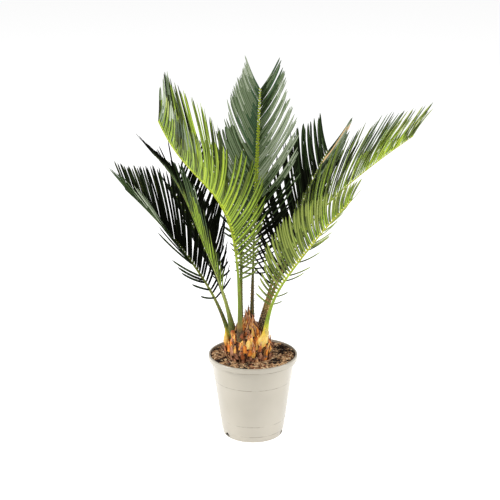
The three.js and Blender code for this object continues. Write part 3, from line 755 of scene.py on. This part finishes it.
def pot_profile():
    rim_foot = POT_HEIGHT - RIM_HEIGHT
    return [
        (0.0, 0.0005), (0.04, 0.0005), (wall_radius(0) - 0.004, 0.0),
        *arc(wall_radius(0) - 0.0016, 0.0016, 0.0016, -90, -10, 6),
        *((wall_radius(z), z) for z in np.linspace(0.004, rim_foot - 0.0012, 90)),
        (wall_radius(rim_foot) + 0.0005, rim_foot - 0.0003),
        *arc(RIM_RADIUS - 0.0016, rim_foot + 0.0016, 0.0016, -80, 0, 6),
        *arc(RIM_RADIUS - 0.0019, POT_HEIGHT - 0.0019, 0.0019, 0, 90, 8),
        *arc(RIM_INNER_RADIUS + 0.0008, POT_HEIGHT - 0.0008, 0.0008, 90, 180, 5),
        *((inner_radius(z), z) for z in np.linspace(rim_foot, FLOOR, 12)),
        (0.0, FLOOR),
    ]


POT_SEGMENTS = 160


def lathe(outline, segments):
    """A closed body of the outline turned about the axis; its first and last points lie on it."""
    body = outline[1:-1]
    points = [(0, 0, outline[0][1])]
    for r, z in body:
        points += [(*polar(r, a), z) for a in turns(segments)]
    points.append((0, 0, outline[-1][1]))
    faces = []
    for j in range(segments):
        k = (j + 1) % segments
        faces.append((0, 1 + k, 1 + j))
        for i in range(len(body) - 1):
            a, b = 1 + i * segments, 1 + (i + 1) * segments
            faces.append((a + j, a + k, b + k, b + j))
        last = 1 + (len(body) - 1) * segments
        faces.append((last + j, last + k, len(points) - 1))
    return points, faces


def pot_material():
    made = Look("pot_plastic", 0.36)
    fill(made.shader, Coat_Weight=0.6, Coat_Roughness=0.22)
    tint = made.ramp(made.noise(9.0, 3.0), [(0.35, rgba(176, 169, 154)), (0.65, rgba(185, 178, 164))])
    # dirt gathers in lines at the shoulders, and under the rim a line that is partly dirt and partly painted
    # shade under its overhang, in patches round them
    stops = [(0.0, 0.0)]
    for shoulder in SHOULDER_HEIGHTS:
        share = (shoulder + 0.0004) / POT_HEIGHT
        stops += [(share - 0.006, 0.0), (share - 0.001, 0.8), (share + 0.001, 0.8), (share + 0.005, 0.0)]
    rim = 1 - RIM_HEIGHT / POT_HEIGHT
    stops += [(rim - 0.014, 0.0), (rim - 0.003, 1.0), (rim + 0.004, 1.0), (rim + 0.009, 0.0), (1.0, 0.0)]
    height = made.node("SeparateXYZ", {"Vector": made.node("TexCoord", {})["Object"]})["Z"]
    share = made.node("Math", {0: height, 1: POT_HEIGHT}, operation="DIVIDE")[0]
    lines = made.ramp(share, [(place, (value, value, value, 1)) for place, value in stops])
    patches = made.ramp(made.noise(55.0, 5.0), [(0.38, BLACK), (0.56, WHITE)])
    dirt_and_shade = made.node("Math", {0: lines, 1: patches}, operation="MULTIPLY")[0]
    return made.finish(made.mix(dirt_and_shade, tint, rgba(88, 78, 54)), made.noise(220.0, 6.0), 0.12, 0.0005)


def drain_cutter(azimuth):
    """A three-sided bar through the foot of the wall."""
    outward, across = compass(azimuth)
    points = []
    for radius in (WALL_FOOT_RADIUS - 0.006, WALL_FOOT_RADIUS + 0.004):
        middle = outward * radius + UP * (FLOOR + 0.0002)
        side = across * DRAIN_WIDTH / 2
        points += [middle - side, middle + side, middle + UP * DRAIN_HEIGHT]
    faces = [(0, 2, 1), (3, 4, 5), (0, 1, 4, 3), (1, 2, 5, 4), (2, 0, 3, 5)]
    return mesh_object("cutter", points, faces)


def make_pot():
    points, faces = lathe(pot_profile(), POT_SEGMENTS)
    sheet = Sheet([pot_material()])
    sheet.add(points, faces)
    pot = sheet.piece("pot_shell", "pot", smooth=35)
    for degrees in DRAIN_AZIMUTHS:
        cutter = drain_cutter(math.radians(degrees))
        cut = pot.modifiers.new("drain", "BOOLEAN")
        cut.operation = "DIFFERENCE"
        cut.solver = "EXACT"
        cut.object = cutter
        graph = bpy.context.evaluated_depsgraph_get()
        mesh = bpy.data.meshes.new_from_object(pot.evaluated_get(graph))
        pot.modifiers.clear()
        pot.data = mesh
        bpy.data.objects.remove(cutter)


# ---- soil

def soil_height(x, y):
    from_trunk = np.hypot(x - TRUNK_X, y)
    free = ease((from_trunk - SOIL_MEETS_BARK) / SOIL_SEAT_EDGE)
    waves = np.sin(x * 310 + y * 170) + np.sin(y * 370 - x * 110)
    hole = np.hypot(x - HOLLOW[0], y - HOLLOW[1]) / HOLLOW[2]
    return float(SOIL_TOP + free * (SOIL_BANK + 0.0008 * waves - HOLLOW[3] * (1 - ease(hole))))


def rough(x, y, scale, seed):
    return noise.noise(Vector((x * scale, y * scale, seed * 7.3)))


SOIL_COLOURS = {
    "dark": (44, 31, 23),
    "brown": (124, 90, 62),
    "tan": (190, 152, 112),
    "pale": (226, 196, 156),
    "red": (128, 74, 54),
    "cream": (244, 228, 190),
}


def chip(rng, size):
    """A broken crumb: an eight-cornered block with its corners moved."""
    corners = np.array([(x, y, z) for z in (-1, 1) for y in (-1, 1) for x in (-1, 1)], float)
    corners *= np.array([1.0, rng.uniform(0.4, 0.9), rng.uniform(0.2, 0.55)]) * size / 2
    corners *= 1 + rng.uniform(-0.35, 0.35, corners.shape)
    turn = rng.uniform(-math.pi, math.pi)
    tilt = rng.uniform(-0.7, 0.7)
    c, s = polar(1, turn)
    about_z = np.array([(c, -s, 0), (s, c, 0), (0, 0, 1)])
    c, s = polar(1, tilt)
    about_x = np.array([(1, 0, 0), (0, c, -s), (0, s, c)])
    corners = corners @ about_x.T @ about_z.T
    faces = [(0, 2, 3, 1), (4, 5, 7, 6), (0, 1, 5, 4), (1, 3, 7, 5), (3, 2, 6, 7), (2, 0, 4, 6)]
    return corners, faces


SOIL_GAP = 0.0004  # between the bed and the pot
SOIL_RINGS = 60
SOIL_SPOKES = 150
LUMP = 0.0022  # height of the soil's larger lumps
CRUMBS = 3400
CRUMB_SHARES = (0.14, 0.24, 0.34, 0.17, 0.07, 0.04)  # of each of SOIL_COLOURS
SOIL_FIBRES = 420
FIBRE_STEPS = 7


def pick(rng, names):
    return names[int(rng.integers(0, len(names)))]


def soil_materials(names):
    return [plain("soil_" + n, SOIL_COLOURS[n], 0.9, 0.2) for n in names]


def make_soil_bed(radius):
    foot = inner_radius(FLOOR) - SOIL_GAP
    points = [(*polar(foot, angle), FLOOR + SOIL_GAP) for angle in turns(SOIL_SPOKES)]
    for i in range(SOIL_RINGS, 0, -1):
        r = radius * (i / SOIL_RINGS)
        edge = ease((radius - r) / 0.006)
        for angle in turns(SOIL_SPOKES):
            x, y = polar(r, angle)
            lumps = LUMP * rough(x, y, 130, 1) + 0.0012 * rough(x, y, 330, 2)
            points.append((x, y, soil_height(x, y) + lumps * edge + 0.0005))
    faces, places = tube_faces(SOIL_RINGS + 1, SOIL_SPOKES)
    sheet = Sheet([
        mottled("soil_top", (30, 21, 17), (128, 98, 76), 260, 0.95, 0.9, (1, 1, 1), 0.22),
        # the second material, near-black, is painted shade on the soil's side against the pot and on its
        # bottom
        plain("soil_side_shade", (5, 4, 3), 0.95, 0.1),
    ])
    sheet.add(points, faces, [0 if ring else 1 for ring, _ in places])
    sheet.piece("soil_bed", "soil")


def make_crumbs(rng, radius):
    names = list(SOIL_COLOURS)
    crumbs = Sheet(soil_materials(names))
    for _ in range(CRUMBS):
        r = radius * math.sqrt(rng.uniform(0.12, 0.99))
        x, y = polar(r, rng.uniform(0, TURN))
        if math.hypot(x - TRUNK_X, y) < 0.034:
            continue
        # crumbs in the hollow are dark, painted shade in it; elsewhere dark crumbs come in random patches
        hole = math.hypot(x - HOLLOW[0], y - HOLLOW[1]) / HOLLOW[2]
        colour = int(rng.choice(len(names), p=CRUMB_SHARES))
        if hole < 0.9 or rough(x, y, 46, 5) + rng.uniform(-0.2, 0.2) > 0.27:
            colour = names.index("dark")
        size = rng.uniform(0.0014, 0.0032) if names[colour] == "cream" else rng.uniform(0.0018, 0.0062)
        corners, faces = chip(rng, size)
        if math.hypot(x, y) + size * 0.7 > radius + 0.0002:
            continue
        z = soil_height(x, y) + LUMP * rough(x, y, 130, 1) + 0.0006
        crumbs.add(corners + np.array([x, y, z]), faces, colour)
    crumbs.piece("soil_crumbs", "soil", smooth=20)


def make_soil_fibres(rng, radius):
    names = ("brown", "tan", "pale")
    fibres = Sheet(soil_materials(names))
    faces, _ = tube_faces(FIBRE_STEPS, 4)
    for _ in range(SOIL_FIBRES):
        r = (radius - 0.012) * math.sqrt(rng.uniform(0.2, 1))
        x, y = polar(r, rng.uniform(0, TURN))
        way = rng.uniform(0, TURN)
        bendy = rng.uniform(-120, 120)
        if math.hypot(x - TRUNK_X, y) < 0.044:
            continue
        step = rng.uniform(0.0012, 0.0026)
        lift = rng.uniform(0.0004, 0.0016)
        thick = rng.uniform(0.00018, 0.00035)
        rings = []
        for i in range(FIBRE_STEPS):
            z = soil_height(x, y) + 0.0010 + lift * math.sin(math.pi * i / (FIBRE_STEPS - 1))
            side = compass(way)[1] * thick
            middle = np.array([x, y, z])
            rings.append([middle + side, middle + UP * thick, middle - side, middle - UP * thick])
            x += step * math.cos(way)
            y += step * math.sin(way)
            way += bendy * step
        if math.hypot(x, y) > radius - 0.001:
            continue
        fibres.add(rings, faces, names.index(pick(rng, names)))
    fibres.piece("soil_fibres", "soil", smooth=80)


def make_soil():
    rng = np.random.default_rng(41)
    radius = inner_radius(SOIL_TOP + SOIL_BANK) - SOIL_GAP
    make_soil_bed(radius)
    make_crumbs(rng, radius)
    make_soil_fibres(rng, radius)


# ---- trunk

# Each colour of the trunk wavers between two tones.
TRUNK_COLOURS = {
    # The first colour is painted shade, for the roots of the scales and their backs against the trunk.
    "shaded_gap": ((24, 15, 9), (64, 40, 24)),
    "bark": ((82, 50, 32), (164, 108, 72)),
    "rust": ((134, 64, 30), (224, 130, 68)),
    "orange": ((206, 90, 24), (255, 168, 66)),
    "amber": ((234, 140, 46), (255, 220, 120)),
    "cream": ((248, 192, 84), (255, 242, 160)),
    "yellow": ((226, 178, 36), (255, 240, 104)),
    "tan": ((176, 118, 74), (248, 202, 150)),
    "rose": ((142, 84, 62), (226, 168, 132)),
    "grey": ((116, 94, 76), (196, 168, 138)),
    "stub": ((34, 22, 22), (84, 58, 50)),
}
TRUNK_SLOTS = {n: i for i, n in enumerate(TRUNK_COLOURS)}
SCALE_STATIONS = (0, 0.14, 0.3, 0.48, 0.66, 0.82, 0.93, 1)
SCALE_BREADTHS = (0.8, 1, 0.98, 0.86, 0.66, 0.42, 0.22, 0.05)
SCALE_FRONT = 8  # faces across a scale's front and back
SCALE_BACK = 3
FOOT_RINGS = 20
FOOT_SIDES = 16
FOOT_REACH = 0.020  # how far up the stalk its foot reaches


def trunk_radius(height):
    rs, zs = zip(*TRUNK_PROFILE)
    return float(np.interp(height, np.array(zs) * MM, np.array(rs) * MM))


def around_trunk(azimuth, radius, height):
    """The outward and sideways directions at an azimuth, and the point at a radius there."""
    outward, across = compass(azimuth)
    return outward, across, np.array([TRUNK_X, 0, TRUNK_FOOT + height]) + outward * radius


def add_scale(sheet, rng, azimuth, radius, height, length, width, thick, flare, curl, names):
    """A leaf base: a ridged, pointed plate that stands out of the trunk and hugs it below."""
    outward, across, foot = around_trunk(azimuth, radius, height)
    front = [(a, 0.5 * (1 - a ** 2)) for a in np.linspace(-1, 1, SCALE_FRONT + 1)]
    back = [(a, -0.3 * (1 - a ** 2)) for a in np.linspace(1, -1, SCALE_BACK + 2)[1:-1]]
    section = np.array(front + back)
    ridges = rng.uniform(-0.16, 0.16, len(section))
    skew = rng.uniform(-0.3, 0.3)
    rings = []
    for w, breadth in zip(SCALE_STATIONS, SCALE_BREADTHS):
        lean = flare + curl * w
        axis = UP * math.cos(lean) + outward * math.sin(lean)
        face = outward * math.cos(lean) - UP * math.sin(lean)
        middle = foot + axis * length * w + face * thick * 0.3 + across * skew * width * w * w
        rough_face = ridges + rng.uniform(-0.08, 0.08, len(ridges))
        sideways = section[:, :1] + rng.uniform(-0.06, 0.06)
        outwards = (section[:, 1] + rough_face)[:, None]
        deep = thick * (1 - 0.65 * w)
        rings.append(middle + across * sideways * breadth * width / 2 + face * outwards * deep)
    faces, places = tube_faces(len(rings), len(section))
    # the roots and backs of a scale take the first colour, painted shade where it hides against the trunk
    root, edge, body, tip = (TRUNK_SLOTS[name] for name in ("shaded_gap", *names))
    tip_from = rng.integers(4, 6)
    slots = []
    for ring, j in places:
        if ring == 0 or j >= SCALE_FRONT:
            slots.append(root)
        elif ring >= tip_from:
            slots.append(tip if ring > tip_from or j in (0, 1, 6, 7) else edge)
        else:
            slots.append(edge if j in (0, 7) or (j == 1 and ring > 2) else body)
    sheet.add(rings, faces, slots)


def add_leaf_foot(frond):
    """The swollen foot of a frond, which clasps the trunk below its stalk."""
    size, drop, shift, names = frond["foot"]
    line = stalk_line(frond)
    ahead = frame_at(frond, 0)[0]
    height = line[0][2] - TRUNK_FOOT - drop * MM
    radius = max(trunk_radius(height), frond["seat"][0] * MM - 0.004) - 0.002
    outward, across, low = around_trunk(math.radians(frond["seat"][1]), radius, height)
    low = low + across * shift * MM
    high = line[0] + ahead * FOOT_REACH
    shares = np.linspace(0, 1, FOOT_RINGS)
    turn = turns(FOOT_SIDES)
    rings = []
    for w in shares:
        swell = 0.0042 * (1 - 0.3 * w) + 0.0056 * size * math.exp(-((w - 0.32) / 0.19) ** 2)
        middle = low * (1 - w) + high * w
        ridge = 1 + 0.07 * np.sin(5 * turn + 9 * w) + 0.04 * np.sin(9 * turn - 14 * w)
        rings.append([
            middle + across * math.cos(a) * swell * r + outward * math.sin(a) * swell * 0.8 * r
            for a, r in zip(turn, ridge)])
    names = names.split()
    stops = []
    for number, name in enumerate(names):
        if name in SHADES:
            tone = SHADES[name][:3]
        else:
            tone = [(d + 2 * c) / 3 for d, c in zip(*TRUNK_COLOURS[name])]
        stops.append((number / (len(names) - 1), tone))
    scurf = TRUNK_COLOURS[names[1]][0]
    ramp_piece("foot_" + frond["name"], "trunk", "trunk", rings, shares, stops, scurf, (190, 140, 104))


# The zones of the trunk's scales, from the foot to the crown: how many, between which heights,
# their lengths and widths, how they lean out, and the shades they take, all in millimetres
# and degrees.
SCALE_ZONES = (
    (44, (-2, 12), (12, 22), (9, 14), (12, 32),
     "rose grey tan rust rose orange tan tan rose", "bark grey rose rose tan"),
    (84, (10, 38), (16, 28), (8, 14), (2, 20),
     "orange amber amber tan orange amber rose orange bark cream rust amber",
     "rust tan rose amber tan"),
    (60, (34, 58), (15, 25), (6, 11), (-2, 14),
     "rust tan amber tan rose rust tan orange", "bark rust tan rose bark"),
    (26, (54, 66), (24, 38), (5, 8), (0, 10),
     "tan amber rose tan tan amber", "rust tan rose tan"),
)
EDGES = {"orange": "rust", "amber": "rust", "cream": "amber", "rose": "bark",
         "grey": "bark", "rust": "bark", "bark": "stub", "tan": "bark"}
TRUNK_FIBRES = 260
TUFT_SCALES = 30
CORE_ROWS = 40
CORE_SPOKES = 96


def make_core():
    """The bark that shows between the scales."""
    points = []
    for i in range(CORE_ROWS + 1):
        height = TRUNK_PROFILE[-1][1] * MM * i / CORE_ROWS
        for angle in turns(CORE_SPOKES):
            radius = trunk_radius(height) - 0.002
            bumps = noise.noise(Vector((*polar(7, angle), height * 90)))
            points.append(around_trunk(angle, radius + 0.0022 * bumps, height)[2])
    faces, _ = tube_faces(CORE_ROWS + 1, CORE_SPOKES)
    core = Sheet([mottled("trunk_core", (34, 20, 12), (112, 70, 42), 190, 0.95, 1.0, (1, 1, 0.4), 0.5)])
    core.add(points, faces)
    core.piece("trunk_core", "trunk")


def trunk_sheet():
    return Sheet([
        mottled("trunk_" + n, *tones, 330, 0.72, 0.6, (1, 1, 0.22), 0.34)
        for n, tones in TRUNK_COLOURS.items()])


def make_scales(rng):
    scales = trunk_sheet()
    turn = 0
    for count, heights, lengths, widths, leans, bodies, tips in SCALE_ZONES:
        for i in range(count):
            turn += GOLDEN_ANGLE
            azimuth = math.radians(turn + rng.uniform(-9, 9))
            height = (heights[0] + (heights[1] - heights[0]) * (i + rng.uniform(0, 1)) / count) * MM
            radius = trunk_radius(max(height, 0))
            slope = math.atan2(trunk_radius(max(height, 0) + 0.012) - radius, 0.012)
            body = pick(rng, bodies.split())
            names = (EDGES[body], body, pick(rng, tips.split()))
            add_scale(
                scales, rng, azimuth, radius - 0.003, height, rng.uniform(*lengths) * MM,
                rng.uniform(*widths) * MM, 0.0040, slope * 0.8 + math.radians(rng.uniform(*leans)),
                math.radians(rng.uniform(-14, 12)), names)
    scales.piece("trunk_scales", "trunk", smooth=40)


def make_trunk_fibres(rng):
    fibres = trunk_sheet()
    for _ in range(TRUNK_FIBRES):
        azimuth = rng.uniform(0, TURN)
        height = rng.uniform(0.002, 0.064)
        outward, across, root = around_trunk(azimuth, trunk_radius(height) + 0.0005, height)
        way = unit(UP + outward * rng.uniform(-0.1, 0.5) + across * rng.uniform(-0.6, 0.6))
        points, faces = cone(root, root + way * rng.uniform(0.006, 0.015), rng.uniform(0.0003, 0.0006), 4)
        colour = TRUNK_SLOTS[pick(rng, ("bark", "tan", "rust", "rose", "stub", "amber"))]
        fibres.add(points, faces, colour)
    fibres.piece("trunk_fibres", "trunk", smooth=80)


def make_tuft(rng):
    """The young leaf bases that stand close together on the trunk's tip."""
    tuft = trunk_sheet()
    for i in range(TUFT_SCALES):
        share = i / TUFT_SCALES
        body = pick(rng, ("tan", "rust", "rose", "tan", "bark", "amber"))
        names = ("rust", body, "rose" if i % 3 else "tan")
        add_scale(
            tuft, rng, math.radians(180 + i * GOLDEN_ANGLE), 0.011 * math.sqrt(share), (60 - 10 * share) * MM,
            (54 - 30 * share) * MM * rng.uniform(0.75, 1.02), rng.uniform(0.0045, 0.0085), 0.0016,
            math.radians(2 + 9 * share + rng.uniform(-4, 4)), math.radians(rng.uniform(-8, 8)), names)
    tuft.piece("trunk_tuft", "trunk", smooth=40)


def make_trunk():
    rng = np.random.default_rng(7)
    make_core()
    make_scales(rng)
    for frond in FRONDS:
        add_leaf_foot(frond)
    make_trunk_fibres(rng)
    make_tuft(rng)


# ---- stage and light

LAMPS = {"key": ((-3.0, -0.7, 2.4), 1.5, 96), "fill": ((3.0, -0.5, 1.9), 1.9, 66)}  # place, size, watts
LAMPS_FACE = Vector((0, 0, 0.3))


def make_stage():
    scene = bpy.context.scene
    corners = [(-14, -6, 0), (14, -6, 0), (14, 30, 0), (-14, 30, 0)]
    floor = mesh_object("floor", corners, [(0, 1, 2, 3)])
    white = plain("floor", (250, 250, 250), 0.9, 0.0)
    shader = white.node_tree.nodes["Principled BSDF"].inputs
    fill(shader, Emission_Color=WHITE, Emission_Strength=0.46)
    floor.data.materials.append(white)
    scene.world = bpy.data.worlds.new("studio")
    scene.world.use_nodes = True
    fill(scene.world.node_tree.nodes["Background"].inputs, Color=WHITE, Strength=0.50)
    scene.view_settings.view_transform = "Standard"
    for name, (place, size, power) in LAMPS.items():
        lamp = bpy.data.lights.new(name, "AREA")
        lamp.shape = "DISK"
        lamp.size = size
        lamp.energy = power
        made = bpy.data.objects.new(name, lamp)
        made.location = place
        made.rotation_euler = (LAMPS_FACE - Vector(place)).to_track_quat("-Z", "Y").to_euler()
        scene.collection.objects.link(made)


make_fronds()
make_pot()
make_soil()
make_trunk()
make_stage()
